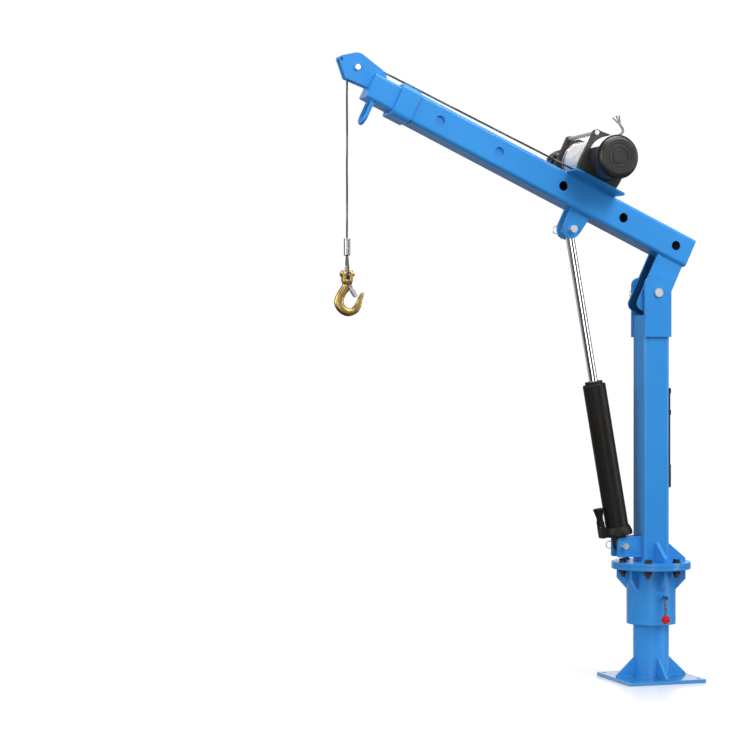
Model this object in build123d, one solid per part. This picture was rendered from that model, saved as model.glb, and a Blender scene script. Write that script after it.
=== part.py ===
from build123d import *
import math
import os

os.makedirs("parts", exist_ok=True)

# ---------------------------------------------------------------- dimensions (mm)
# base and post
BASE_W, BASE_T = 235.0, 10.0
BASE_HOLE_SPACING, BASE_HOLE_D = 200.0, 13.0
POST_R, POST_WALL, POST_TOP, POST_CAP_T = 50.8, 8.0, 318.0, 10.0
BASE_GUSSET_H, BASE_GUSSET_R, BASE_GUSSET_LIP = 55.0, 108.0, 4.0
GUSSET_T = 8.0

# swivel sleeve and flanges
SLEEVE_R, SLEEVE_BORE_R, SLEEVE_Z0, SLEEVE_Z1 = 69.85, 60.0, 160.0, 316.0
BUSH_GAP = 0.05
FLANGE_R, FLANGE_T, FLANGE_PCR = 112.5, 10.0, 87.0
SLEEVE_GUSSET_R, SLEEVE_GUSSET_LIP, SLEEVE_GUSSET_H = 97.6, 28.0, 59.0
BOLT_R, BOLT_HEAD_AF, BOLT_HEAD_H, WASHER_R, WASHER_T = 6.0, 19.0, 8.0, 12.0, 2.5
LOCK_Z, LOCK_SCREW_R, LOCK_ROD_R, LOCK_REACH, LOCK_BALL_R, LOCK_BALL_Z = (
    240.0, 5.0, 3.5, 97.0, 12.5, 179.0)
LOCK_BOSS_R = 10.0

# mast
MAST_W, MAST_WALL, MAST_CORNER, MAST_TOP = 80.0, 5.0, 10.0, 1035.0
MAST_GUSSET_H, MAST_GUSSET_R, MAST_GUSSET_LIP, MAST_GUSSET_T = 55.0, 100.0, 14.0, 11.0
REAR_GUSSET_H, REAR_GUSSET_R, REAR_GUSSET_LIP = 51.0, 96.0, 9.0
PIVOT_Z = 1098.0
CLEVIS_T, CLEVIS_HALF, CLEVIS_Z0, CLEVIS_RISE, CLEVIS_CORNER = 8.0, 41.0, 973.0, 45.0, 22.0
PIVOT_PIN_R, PIVOT_HEAD_R = 10.0, 12.2
LINCH_R, LINCH_RING_R, LINCH_WIRE_R = 2.2, 10.0, 1.3

# boom
LUFF = 25.0
BOOM_OFFSET = 148.0
BOOM_W, BOOM_WALL, BOOM_CORNER, BOOM_CV = 84.0, 5.0, 10.0, -2.0
BOOM_U0, BOOM_U1 = -47.0, 920.0
BOOM_HOLES, BOOM_HOLE_R = (786.0, 595.0, 384.0, 183.0, 4.0), 13.5
COLLAR_U0, COLLAR_T = 865.0, 5.0
NECK_HALF_U, NECK_HALF_Y, NECK_END, NECK_WALL, NECK_CORNER = 41.0, 34.0, 63.0, 8.0, 20.0
INNER_W, INNER_WALL, INNER_CORNER = 72.0, 5.0, 8.0
INNER_U0, INNER_U1 = 430.0, 1001.5
INNER_HOLES = (500.0, 691.0)

# boom head
HEAD_Y0, HEAD_Y1 = 9.0, 17.0
HEAD_OUTLINE = ((965.0, 34.0), (967.0, 40.0), (972.5, 47.3), (985.0, 53.2), (1049.0, 65.4), (1056.0, 66.6),
                (1066.0, 65.6), (1075.0, 61.4), (1105.5, 37.3), (1109.3, 33.2), (1110.4, 29.5), (1109.6, 26.0),
                (1070.0, -14.0), (1001.5, -8.5), (1001.5, 34.0))
AXLE_U, AXLE_V, AXLE_R, AXLE_HEAD_R = 1053.4, 27.5, 7.0, 8.0
KEEPER_U, KEEPER_V, KEEPER_R, KEEPER_RECESS_R = 1102.3, 27.1, 3.0, 4.9
PULLEY_R, PULLEY_ROPE_R, PULLEY_HALF_Y = 30.0, 24.5, 8.0
EYE_U, EYE_V, EYE_BEND_R, EYE_WIRE_R = 977.0, -79.7, 22.0, 6.0

# rope and hook
ROPE_R = 3.0
FERRULE_Z0, FERRULE_Z1, FERRULE_R = 1191.0, 1238.0, 9.0
HOOK_PIN_Z, HOOK_PIN_R = 1141.0, 5.0
HOOK_HALF_T = 8.0

# winch
WINCH_U, WINCH_V = 317.0, 110.0
PLATE_U0, PLATE_U1, PLATE_HALF_Y, PLATE_T, PLATE_CHAMFER = 230.0, 389.0, 104.0, 6.0, 4.0
BRACKET_U, BRACKET_Y0, BRACKET_Y1, BRACKET_FOOT, BRACKET_TOP = 323.5, 86.0, 104.0, 62.5, 64.0
BRACKET_SIDE = ((65.0, -50.0), (66.0, -39.0), (66.0, -25.0), (64.5, -7.0), (63.5, 11.0), (63.2, 30.0), (63.5, 48.0),
                (63.0, 55.0), (58.0, 59.5), (49.0, 59.5), (37.0, 60.5), (22.0, 62.8))
TIE_DU, TIE_DV, TIE_R = 55.0, 50.5, 6.5
FOOT_DU, FOOT_SCREW_R, FOOT_HEAD_R, FOOT_HEAD_H = 46.0, 4.0, 8.0, 4.0
DRUM_CORE_R, DRUM_FLANGE_R, DRUM_JOURNAL_R, DRUM_BORE_R = 32.0, 62.5, 22.0, 9.0
ROPE_LAYER_R, DRUM_ROPE_R, RUN_Y0 = 53.7, 57.0, 45.0
GEARBOX_R, GEARBOX_Y1, GEARCAP_R, GEARCAP_Y0, GEARCAP_Y1 = 61.0, 167.0, 57.0, 167.0, 182.0
MOTOR_R, MOTOR_Y1, MOTORCAP_R, MOTORCAP_Y1 = 48.0, -184.0, 55.0, -236.0
GEAR_M, SUN_Z, PLANET_Z, RING_Z, GEAR_Y0, GEAR_Y1 = 2.0, 12, 12, 36, 112.0, 130.0
PLANET_ANGLES = (90.0, 210.0, 330.0)
CLUTCH_DU, CLUTCH_Y, CLUTCH_TOP = 4.0, 124.0, 63.5

# lifting ram, measured along its axis from the lower pin
RAM_X, RAM_Z = 95.5, 383.0
RAM_TOP_U, RAM_TOP_V = 304.4, -95.7
RAM_PIN_R, RAM_EYE_R, ROD_EYE_R, RAM_EYE_HALF_Y = 8.0, 15.5, 17.0, 15.0
EAR_Y0, EAR_Y1 = 16.0, 26.0
RAM_R, RAM_BORE_R, RAM_BARREL_Z0, RAM_BARREL_Z1 = 32.5, 27.0, 56.0, 464.0
RAM_BASE_R, RAM_BASE_Z0, RAM_BASE_Z1, RAM_FLOOR_Z, VALVE_Z = 40.5, 30.0, 40.0, 36.0, 40.0
RAM_PIN_REACH, LOWER_HEAD_R, UPPER_HEAD_R = 16.0, 8.6, 10.0
GLAND_R, GLAND_H, GLAND_PLUG = 25.0, 8.0, 18.0
ROD_R = 12.5
PISTON_Z0, PISTON_Z1 = 430.0, 442.0
PUMP_X, PUMP_PIVOT_Z = 48.5, 76.0

# stowed pump handle on the mast's back
HANDLE_X, HANDLE_R, HANDLE_Z0, HANDLE_Z1, GRIP_Z1, GRIP_R = -51.5, 8.0, 545.0, 829.0, 611.0, 9.5
CLIP_Z = (752.0, 813.0)
CLIP_H = 14.0

# ---------------------------------------------------------------- frames
BOOM = Location((0, 0, PIVOT_Z)) * Location((0, 0, 0), (0, -LUFF, 0)) * Location((0, 0, BOOM_OFFSET))
_c, _s = math.cos(math.radians(LUFF)), math.sin(math.radians(LUFF))


def boom_point(u, v):
    w = v + BOOM_OFFSET
    return u * _c - w * _s, PIVOT_Z + u * _s + w * _c


RAM_TOP_X, RAM_TOP_Z = boom_point(RAM_TOP_U, RAM_TOP_V)
RAM_LENGTH = math.hypot(RAM_TOP_X - RAM_X, RAM_TOP_Z - RAM_Z)
RAM_LEAN = math.degrees(math.atan2(RAM_TOP_X - RAM_X, RAM_TOP_Z - RAM_Z))
RAM = Location((RAM_X, 0, RAM_Z)) * Location((0, 0, 0), (0, RAM_LEAN, 0))


# ---------------------------------------------------------------- helpers
def save(name, *shapes):
    solids = []
    for shape in shapes:
        solids += shape.solids()
    export_step(solids[0] if len(solids) == 1 else Compound(solids), f"parts/{name}.step")


def rod(p0, p1, r):
    d = Vector(*p1) - Vector(*p0)
    return Solid.make_cylinder(r, d.length, Plane(origin=p0, z_dir=d))


def disc(r, z0, z1):
    return rod((0, 0, z0), (0, 0, z1), r)


def ring(r, bore, z0, z1):
    return disc(r, z0, z1) - disc(bore, z0 - 1, z1 + 1)


def yrod(x, z, r, y0, y1):
    return rod((x, y0, z), (x, y1, z), r)


def block(x0, x1, y0, y1, z0, z1):
    return Pos((x0 + x1) / 2, (y0 + y1) / 2, (z0 + z1) / 2) * Box(x1 - x0, y1 - y0, z1 - z0)


def yprism(points, y0, y1):
    face = make_face(Polyline(*[(x, y0, z) for x, z in points], close=True))
    return extrude(face, amount=y1 - y0, dir=(0, 1, 0))


def tube(w, wall, corner, length):
    outer = RectangleRounded(w, w, corner)
    inner = RectangleRounded(w - 2 * wall, w - 2 * wall, max(corner - wall, 1.0))
    return extrude(outer - inner, amount=length)


def along_u(shape, u0):
    return Location(Plane(origin=(u0, 0, BOOM_CV), x_dir=(0, 1, 0), z_dir=(1, 0, 0))) * shape


def hexagon(af, z0, z1):
    return Pos(0, 0, z0) * extrude(RegularPolygon(af / 2, 6, major_radius=False), amount=z1 - z0)


def linch(x, y, z, reach=25.0):
    return rod((x - 12, y, z), (x + reach - LINCH_RING_R + 0.5, y, z), LINCH_R) + Solid.make_torus(
        LINCH_RING_R, LINCH_WIRE_R, Plane(origin=(x + reach, y, z), z_dir=(0.0, 1.0, 0.0)))


def linch_hole(x, y, z):
    return rod((x - 20, y, z), (x + 20, y, z), LINCH_R + 0.05)


def involute(a):
    return math.tan(a) - a


def gear_points(z, add, ded, thin, phase):
    rp = z * GEAR_M / 2
    rb = rp * math.cos(math.radians(20))
    half = (math.pi * GEAR_M / 4 - thin) / rp

    def psi(r):
        if r <= rb:
            return half + involute(math.radians(20))
        return half + involute(math.radians(20)) - involute(math.acos(rb / r))

    radii = [rp - ded, rp, rp + add]
    if rb > rp - ded + 0.2:
        radii.insert(1, rb)
    points = []
    for i in range(z):
        c = math.radians(phase + 360.0 * i / z)
        for r in radii:
            points.append((r * math.cos(c - psi(r)), r * math.sin(c - psi(r))))
        for r in reversed(radii):
            points.append((r * math.cos(c + psi(r)), r * math.sin(c + psi(r))))
    return points


def gear(z, add, ded, thin, phase, u, v, y0, y1):
    face = make_face(Polyline(*[(x, y, 0) for x, y in gear_points(z, add, ded, thin, phase)], close=True))
    solid = extrude(face, amount=y1 - y0)
    return Location(Plane(origin=(u, y1, v), x_dir=(1, 0, 0), z_dir=(0, -1, 0))) * solid


# ---------------------------------------------------------------- base
half = BASE_HOLE_SPACING / 2
plate = extrude(RectangleRounded(BASE_W, BASE_W, 6), amount=BASE_T)
for sx in (-1, 1):
    for sy in (-1, 1):
        plate -= rod((sx * half, sy * half, -1), (sx * half, sy * half, BASE_T + 1), BASE_HOLE_D / 2)
save("base_plate", plate)

post = disc(POST_R, BASE_T, POST_TOP) - disc(POST_R - POST_WALL, BASE_T - 1, POST_TOP - POST_CAP_T)
save("base_post", post)

gusset = yprism([(POST_R - 3, BASE_T), (BASE_GUSSET_R, BASE_T), (BASE_GUSSET_R, BASE_T + BASE_GUSSET_LIP),
                 (POST_R + 3, BASE_T + BASE_GUSSET_H), (POST_R - 3, BASE_T + BASE_GUSSET_H)],
                -GUSSET_T / 2, GUSSET_T / 2) - disc(POST_R, 0, 100)
save("base_gussets", *[Rot(0, 0, 90 * k) * gusset for k in range(4)])

# ---------------------------------------------------------------- swivel column
boss = rod((0, SLEEVE_BORE_R + 3, LOCK_Z), (0, SLEEVE_R + 10, LOCK_Z), LOCK_BOSS_R)
sleeve = disc(SLEEVE_R, SLEEVE_Z0, SLEEVE_Z1) + boss
sleeve -= disc(SLEEVE_BORE_R, SLEEVE_Z0 - 1, SLEEVE_Z1 + 1)
sleeve -= rod((0, 40, LOCK_Z), (0, 100, LOCK_Z), LOCK_SCREW_R + 0.05)
save("swivel_sleeve", sleeve)

bush_bore = POST_R + BUSH_GAP
flange_z0 = SLEEVE_Z1
flange_z1 = flange_z0 + FLANGE_T
mast_z0 = flange_z1 + FLANGE_T
save("swivel_bushes",
     ring(SLEEVE_BORE_R, bush_bore, SLEEVE_Z0 + 2, SLEEVE_Z0 + 32),
     ring(SLEEVE_BORE_R, bush_bore, SLEEVE_Z1 - 32, SLEEVE_Z1 - 2),
     ring(POST_R - 2, 20, POST_TOP + BUSH_GAP, flange_z1))

bolt_spots = [(FLANGE_PCR * math.cos(math.radians(60 * k)), FLANGE_PCR * math.sin(math.radians(60 * k)))
              for k in range(6)]
lower = ring(FLANGE_R, SLEEVE_BORE_R + 0.5, flange_z0, flange_z1)
upper = disc(FLANGE_R, flange_z1, mast_z0)
for x, y in bolt_spots:
    lower -= rod((x, y, flange_z0 - 1), (x, y, flange_z1 + 1), BOLT_R + 0.5)
    upper -= rod((x, y, flange_z1 - 1), (x, y, mast_z0 + 1), BOLT_R + 0.5)
save("sleeve_flange", lower)
save("mast_flange", upper)

gusset = yprism([(SLEEVE_R - 3, SLEEVE_Z1), (SLEEVE_GUSSET_R, SLEEVE_Z1),
                 (SLEEVE_GUSSET_R, SLEEVE_Z1 - SLEEVE_GUSSET_LIP),
                 (SLEEVE_R, SLEEVE_Z1 - SLEEVE_GUSSET_H), (SLEEVE_R - 3, SLEEVE_Z1 - SLEEVE_GUSSET_H)],
                -GUSSET_T / 2, GUSSET_T / 2) - disc(SLEEVE_R, SLEEVE_Z0, SLEEVE_Z1 + 1)
save("sleeve_gussets", *[Rot(0, 0, 30 + 60 * k) * gusset for k in range(6)])

head_z = mast_z0 + WASHER_T
bolt = hexagon(BOLT_HEAD_AF, head_z, head_z + BOLT_HEAD_H) + disc(BOLT_R, flange_z0 - 22, head_z)
save("flange_bolts", *[Pos(x, y, 0) * bolt for x, y in bolt_spots])
nut_z1 = flange_z0 - WASHER_T
nut = hexagon(BOLT_HEAD_AF, nut_z1 - 10, nut_z1) - disc(BOLT_R, nut_z1 - 11, nut_z1 + 1)
hardware = []
for x, y in bolt_spots:
    hardware += [Pos(x, y, 0) * nut,
                 Pos(x, y, 0) * ring(WASHER_R, BOLT_R, nut_z1, flange_z0),
                 Pos(x, y, 0) * ring(WASHER_R, BOLT_R, mast_z0, head_z)]
save("flange_nuts", *hardware)

save("mast_tube", Pos(0, 0, mast_z0) * tube(MAST_W, MAST_WALL, MAST_CORNER, MAST_TOP - mast_z0))

m = MAST_W / 2


def mast_gusset(radius, lip, height):
    return yprism([(m, mast_z0), (radius, mast_z0), (radius, mast_z0 + lip), (m + 5, mast_z0 + height),
                   (m, mast_z0 + height)], -MAST_GUSSET_T / 2, MAST_GUSSET_T / 2)


gusset = mast_gusset(MAST_GUSSET_R, MAST_GUSSET_LIP, MAST_GUSSET_H)
rear = mast_gusset(REAR_GUSSET_R, REAR_GUSSET_LIP, REAR_GUSSET_H)
side_gap = WASHER_R + 2.5 + MAST_GUSSET_T / 2
save("mast_gussets", Rot(0, 0, 90) * gusset, Rot(0, 0, -90) * gusset,
     Rot(0, 0, 180) * Pos(0, side_gap, 0) * rear, Rot(0, 0, 180) * Pos(0, -side_gap, 0) * rear)

cheek = block(-CLEVIS_HALF, CLEVIS_HALF, m, m + CLEVIS_T, CLEVIS_Z0, PIVOT_Z + CLEVIS_RISE)
cheek = fillet(cheek.edges().filter_by(Axis.Y).sort_by(Axis.Z)[-2:], CLEVIS_CORNER)
cheek -= yrod(0, PIVOT_Z, PIVOT_PIN_R, m - 1, m + CLEVIS_T + 1)
save("mast_clevis_plates", cheek, Rot(0, 0, 180) * cheek)

outer_y = m + CLEVIS_T
pin = yrod(0, PIVOT_Z, PIVOT_PIN_R, -outer_y - 13, outer_y) + yrod(0, PIVOT_Z, PIVOT_HEAD_R, outer_y, outer_y + 6)
hole_y = -outer_y - 7
save("boom_pivot_pin", pin - linch_hole(0, hole_y, PIVOT_Z), linch(0, hole_y, PIVOT_Z, 32.0))

ear = yprism([(m, 351), (110, 351), (113, 354), (113, 403), (110, 406), (m, 410)], EAR_Y0, EAR_Y1)
ear -= yrod(RAM_X, RAM_Z, RAM_PIN_R, EAR_Y0 - 1, EAR_Y1 + 1)
save("ram_lower_ears", ear, mirror(ear, about=Plane.XZ))

pin = yrod(RAM_X, RAM_Z, RAM_PIN_R, -EAR_Y1 - 12, EAR_Y1) + yrod(RAM_X, RAM_Z, LOWER_HEAD_R, EAR_Y1, EAR_Y1 + RAM_PIN_REACH)
linch_y = -EAR_Y1 - 6
save("ram_lower_pin", pin - linch_hole(RAM_X, linch_y, RAM_Z), linch(RAM_X, linch_y, RAM_Z, 19.5))

clips = []
for z in CLIP_Z:
    clip = block(-m - 17, -m, -12.5, 12.5, z, z + CLIP_H)
    clip -= block(-m - 30, -m - 3.2, -HANDLE_R - 0.3, HANDLE_R + 0.3, z - 1, z + CLIP_H + 1)
    clips.append(clip)
save("handle_clips", *clips)

# ---------------------------------------------------------------- column lock and stowed handle
screw = rod((0, POST_R + 0.4, LOCK_Z), (0, LOCK_REACH + LOCK_SCREW_R + 1, LOCK_Z), LOCK_SCREW_R)
screw += rod((0, LOCK_REACH, LOCK_Z), (0, LOCK_REACH, LOCK_BALL_Z + 3), LOCK_ROD_R)
save("lock_screw", screw)
ball = Pos(0, LOCK_REACH, LOCK_BALL_Z) * Sphere(LOCK_BALL_R)
ball -= rod((0, LOCK_REACH, LOCK_BALL_Z + 3), (0, LOCK_REACH, LOCK_BALL_Z + 30), LOCK_ROD_R)
save("lock_knob", ball)

bar = rod((HANDLE_X, 0, HANDLE_Z0 + 8), (HANDLE_X, 0, HANDLE_Z1), HANDLE_R)
bar = fillet(bar.edges().filter_by(GeomType.CIRCLE).sort_by(Axis.Z)[-1], 2.0)
grip = rod((HANDLE_X, 0, HANDLE_Z0), (HANDLE_X, 0, GRIP_Z1), GRIP_R)
grip = fillet(grip.edges().filter_by(GeomType.CIRCLE), 2.0)
grip -= rod((HANDLE_X, 0, HANDLE_Z0 + 8), (HANDLE_X, 0, GRIP_Z1 + 10), HANDLE_R)
save("pump_handle", bar, grip)

# ---------------------------------------------------------------- boom
boom_top, boom_bottom = BOOM_CV + BOOM_W / 2, BOOM_CV - BOOM_W / 2
section = along_u(tube(BOOM_W, BOOM_WALL, BOOM_CORNER, BOOM_U1 - BOOM_U0), BOOM_U0)
for u in BOOM_HOLES:
    section -= yrod(u, BOOM_CV, BOOM_HOLE_R, -BOOM_W, BOOM_W)
save("boom_tube", BOOM * section)

collar = extrude(RectangleRounded(BOOM_W + 2 * COLLAR_T, BOOM_W + 2 * COLLAR_T, BOOM_CORNER + COLLAR_T)
                 - RectangleRounded(BOOM_W, BOOM_W, BOOM_CORNER), amount=BOOM_U1 - COLLAR_U0)
save("boom_collar", BOOM * along_u(collar, COLLAR_U0))

pv = -BOOM_OFFSET

# neck: a channel, open at the front, with a cross tube for the pivot pin
inner_y = NECK_HALF_Y - NECK_WALL
neck = block(-NECK_HALF_U, NECK_HALF_U, -NECK_HALF_Y, NECK_HALF_Y, pv - NECK_END, boom_bottom)
neck = fillet(neck.edges().filter_by(Axis.Y).sort_by(Axis.Z)[:2], NECK_CORNER)
neck -= block(NECK_WALL - NECK_HALF_U, NECK_HALF_U + 1, -inner_y, inner_y, pv - NECK_END - 1, boom_bottom + 1)
neck += yrod(0, pv, 18, -m + 0.05, m - 0.05)
neck -= yrod(0, pv, PIVOT_PIN_R + 0.05, -60, 60)
save("boom_neck", BOOM * neck)

ear_pts = [(RAM_TOP_U - 35, boom_bottom), (RAM_TOP_U + 28, boom_bottom), (RAM_TOP_U + 28, RAM_TOP_V),
           (RAM_TOP_U - 26, RAM_TOP_V)]
ear = yprism(ear_pts, EAR_Y0, EAR_Y1)
ear += yprism([(RAM_TOP_U - 26, RAM_TOP_V + 0.5), (RAM_TOP_U + 28, RAM_TOP_V + 0.5), (RAM_TOP_U + 24, RAM_TOP_V - 12),
               (RAM_TOP_U + 12, RAM_TOP_V - 25), (RAM_TOP_U, RAM_TOP_V - 27), (RAM_TOP_U - 12, RAM_TOP_V - 24.5),
               (RAM_TOP_U - 22, RAM_TOP_V - 12)], EAR_Y0, EAR_Y1)
ear -= yrod(RAM_TOP_U, RAM_TOP_V, RAM_PIN_R, EAR_Y0 - 1, EAR_Y1 + 1)
save("ram_upper_ears", BOOM * ear, BOOM * mirror(ear, about=Plane.XZ))

near = yrod(RAM_TOP_X, RAM_TOP_Z, RAM_PIN_R, EAR_Y0, EAR_Y1)
near += yrod(RAM_TOP_X, RAM_TOP_Z, UPPER_HEAD_R, EAR_Y1, EAR_Y1 + RAM_PIN_REACH)
far = yrod(RAM_TOP_X, RAM_TOP_Z, RAM_PIN_R, -EAR_Y1 - 12, -EAR_Y0)
far -= linch_hole(RAM_TOP_X, linch_y, RAM_TOP_Z)
save("ram_upper_pin", near, far, linch(RAM_TOP_X, linch_y, RAM_TOP_Z))

# sliding inner section with its closed nose
section = along_u(tube(INNER_W, INNER_WALL, INNER_CORNER, INNER_U1 - INNER_U0), INNER_U0)
section += along_u(extrude(RectangleRounded(INNER_W - 2, INNER_W - 2, INNER_CORNER - 1), amount=5), INNER_U1 - 5)
for u in INNER_HOLES:
    section -= yrod(u, BOOM_CV, BOOM_HOLE_R, -BOOM_W, BOOM_W)
save("inner_boom_tube", BOOM * section)

cheek = yprism(HEAD_OUTLINE, HEAD_Y0, HEAD_Y1)
cheek -= yrod(AXLE_U, AXLE_V, AXLE_R, 0, 30)
cheek -= yrod(KEEPER_U, KEEPER_V, KEEPER_R, 0, 30)
cheek -= yrod(KEEPER_U, KEEPER_V, KEEPER_RECESS_R, HEAD_Y1 - 3, 30)
save("head_plates", BOOM * cheek, BOOM * mirror(cheek, about=Plane.XZ))

axle = yrod(AXLE_U, AXLE_V, AXLE_R, -HEAD_Y1 - 12, HEAD_Y1) + yrod(AXLE_U, AXLE_V, AXLE_HEAD_R, HEAD_Y1, HEAD_Y1 + 6)
axle_nut = Location(Plane(origin=(AXLE_U, -HEAD_Y1, AXLE_V), x_dir=(1, 0, 0), z_dir=(0, -1, 0))) * (
    hexagon(22, 0, 9) - disc(AXLE_R, -1, 10))
keeper = yrod(KEEPER_U, KEEPER_V, KEEPER_R, -HEAD_Y1 + 3, HEAD_Y1 - 3)
save("head_bolts", BOOM * axle, BOOM * axle_nut, BOOM * keeper)

inner_bottom = BOOM_CV - INNER_W / 2
path = Wire([Edge.make_line((EYE_U, -EYE_BEND_R, inner_bottom), (EYE_U, -EYE_BEND_R, EYE_V)),
             Edge.make_three_point_arc((EYE_U, -EYE_BEND_R, EYE_V), (EYE_U, 0, EYE_V - EYE_BEND_R), (EYE_U, EYE_BEND_R, EYE_V)),
             Edge.make_line((EYE_U, EYE_BEND_R, EYE_V), (EYE_U, EYE_BEND_R, inner_bottom))])
circle = Plane(origin=(EYE_U, -EYE_BEND_R, inner_bottom), z_dir=(0, 0, -1)) * Circle(EYE_WIRE_R)
save("lifting_eye", BOOM * sweep(circle, path))

# rope pulley, groove cut to the rope
pr = PULLEY_ROPE_R
groove = [(AXLE_R + 0.05, -PULLEY_HALF_Y), (PULLEY_R, -PULLEY_HALF_Y), (PULLEY_R, -PULLEY_HALF_Y + 1.5),
          (pr, -ROPE_R - 1.2), (pr - ROPE_R - 0.5, -2.2), (pr - ROPE_R - 0.5, 2.2), (pr, ROPE_R + 1.2),
          (PULLEY_R, PULLEY_HALF_Y - 1.5), (PULLEY_R, PULLEY_HALF_Y), (AXLE_R + 0.05, PULLEY_HALF_Y)]
profile = make_face(Polyline(*[(r, 0, h) for r, h in groove], close=True))
sheave = revolve(profile, Axis.Z, 360)
to_axle = Location(Plane(origin=(AXLE_U, 0, AXLE_V), x_dir=(1, 0, 0), z_dir=(0, -1, 0)))
save("head_pulley", BOOM * to_axle * sheave)

# ---------------------------------------------------------------- winch
pc, pb = PLATE_CHAMFER, boom_top
plate = extrude(make_face(Polyline(
    (PLATE_U0 + pc, -PLATE_HALF_Y, pb), (PLATE_U1 - pc, -PLATE_HALF_Y, pb), (PLATE_U1, -PLATE_HALF_Y + pc, pb),
    (PLATE_U1, PLATE_HALF_Y - pc, pb), (PLATE_U1 - pc, PLATE_HALF_Y, pb), (PLATE_U0 + pc, PLATE_HALF_Y, pb),
    (PLATE_U0, PLATE_HALF_Y - pc, pb), (PLATE_U0, -PLATE_HALF_Y + pc, pb), close=True)), amount=PLATE_T, dir=(0, 0, 1))
foot_spots = [(BRACKET_U + su * FOOT_DU, sy * (BRACKET_Y0 + BRACKET_Y1) / 2) for su in (-1, 1) for sy in (-1, 1)]
# countersunk from below, so the screw heads end flush with the plate
sunk_head = Pos(0, 0, pb + FOOT_HEAD_H / 2) * Cone(FOOT_HEAD_R, FOOT_SCREW_R, FOOT_HEAD_H)
for u, y in foot_spots:
    plate -= Pos(u, y, 0) * sunk_head
    plate -= rod((u, y, pb + FOOT_HEAD_H - 0.5), (u, y, pb + PLATE_T + 1), FOOT_SCREW_R)
save("winch_plate", BOOM * plate)

foot_v = pb + PLATE_T - WINCH_V
right_side = [(BRACKET_FOOT, foot_v)] + list(BRACKET_SIDE)
outline = right_side + [(0, BRACKET_TOP)] + [(-x, z) for x, z in reversed(right_side)]
frame = yprism([(BRACKET_U + x, WINCH_V + z) for x, z in outline], BRACKET_Y0, BRACKET_Y1)
frame -= yrod(WINCH_U, WINCH_V, DRUM_JOURNAL_R + 0.05, BRACKET_Y0 - 1, BRACKET_Y1 + 1)
for su in (-1, 1):
    frame -= yrod(BRACKET_U + su * TIE_DU, WINCH_V + TIE_DV, TIE_R, BRACKET_Y0 - 1, BRACKET_Y1 + 1)
    foot_u, foot_y = BRACKET_U + su * FOOT_DU, (BRACKET_Y0 + BRACKET_Y1) / 2
    frame -= rod((foot_u, foot_y, pb), (foot_u, foot_y, pb + PLATE_T + 16), FOOT_SCREW_R)
save("winch_brackets", BOOM * frame, BOOM * mirror(frame, about=Plane.XZ))

save("winch_tie_rods", *[BOOM * yrod(BRACKET_U + su * TIE_DU, WINCH_V + TIE_DV, TIE_R, -BRACKET_Y1 - 1, BRACKET_Y1 + 1)
                         for su in (-1, 1)])

drum = yrod(WINCH_U, WINCH_V, DRUM_CORE_R, -84, 84)
for sy in (-1, 1):
    drum += yrod(WINCH_U, WINCH_V, DRUM_FLANGE_R, min(sy * 80, sy * 84), max(sy * 80, sy * 84))
drum += yrod(WINCH_U, WINCH_V, DRUM_JOURNAL_R, -BRACKET_Y1, BRACKET_Y1 + 1)
drum -= yrod(WINCH_U, WINCH_V, DRUM_BORE_R, -200, 200)
save("winch_drum", BOOM * drum)
layer = yrod(WINCH_U, WINCH_V, ROPE_LAYER_R, -80, 80) - yrod(WINCH_U, WINCH_V, DRUM_CORE_R, -90, 90)
save("drum_rope", BOOM * layer)

# planetary reduction inside the gearbox: sun on the motor shaft, carrier on the drum, ring cut in the housing
carrier = yrod(WINCH_U, WINCH_V, 33, BRACKET_Y1 + 1, BRACKET_Y1 + 6) - yrod(WINCH_U, WINCH_V, DRUM_BORE_R, 90, 120)
centre = (SUN_Z + PLANET_Z) * GEAR_M / 2
planet_spots = [(WINCH_U + centre * math.cos(math.radians(a)), WINCH_V + centre * math.sin(math.radians(a)))
                for a in PLANET_ANGLES]
for u, v in planet_spots:
    carrier += yrod(u, v, 4, BRACKET_Y1 + 5, GEAR_Y1 + 1)
save("planet_carrier", BOOM * carrier)
for k, (u, v) in enumerate(planet_spots):
    wheel = gear(PLANET_Z, 1.6, 2.2, 0.15, PLANET_ANGLES[k] + 180 + 180 / PLANET_Z, u, v, GEAR_Y0, GEAR_Y1)
    wheel -= yrod(u, v, 4.05, GEAR_Y0 - 1, GEAR_Y1 + 1)
    save(f"planet_gear_{k + 1}", BOOM * wheel)

housing = yrod(WINCH_U, WINCH_V, GEARBOX_R, BRACKET_Y1, GEARBOX_Y1)
housing += block(WINCH_U + CLUTCH_DU - 14, WINCH_U + CLUTCH_DU + 14, CLUTCH_Y - 13, CLUTCH_Y + 13, WINCH_V + 42,
                 WINCH_V + CLUTCH_TOP)
housing -= yrod(WINCH_U, WINCH_V, 38.5, BRACKET_Y1 - 1, GEAR_Y0 - 1)
housing -= gear(RING_Z, 2.2, 1.6, -0.15, 180 / RING_Z, WINCH_U, WINCH_V, GEAR_Y0 - 1, GEAR_Y1 + 1)
housing -= yrod(WINCH_U, WINCH_V, 34, GEAR_Y1, GEARBOX_Y1 - 8)
housing -= rod((WINCH_U + CLUTCH_DU, CLUTCH_Y, WINCH_V + 48), (WINCH_U + CLUTCH_DU, CLUTCH_Y, WINCH_V + 70), 5.05)
save("gearbox_housing", BOOM * housing)

cap = yrod(WINCH_U, WINCH_V, GEARCAP_R, GEARCAP_Y0, GEARCAP_Y1)
cap = fillet(cap.edges().filter_by(GeomType.CIRCLE).sort_by(Axis.Y)[-1], 11.0)
for r0, r1, depth in ((32.5, 34.5, 1.2), (21.0, 23.5, 2.0)):
    cap -= (yrod(WINCH_U, WINCH_V, r1, GEARCAP_Y1 - depth, GEARCAP_Y1 + 1)
            - yrod(WINCH_U, WINCH_V, r0, GEARCAP_Y1 - depth - 1, GEARCAP_Y1 + 2))
save("gearbox_cap", BOOM * cap)

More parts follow.
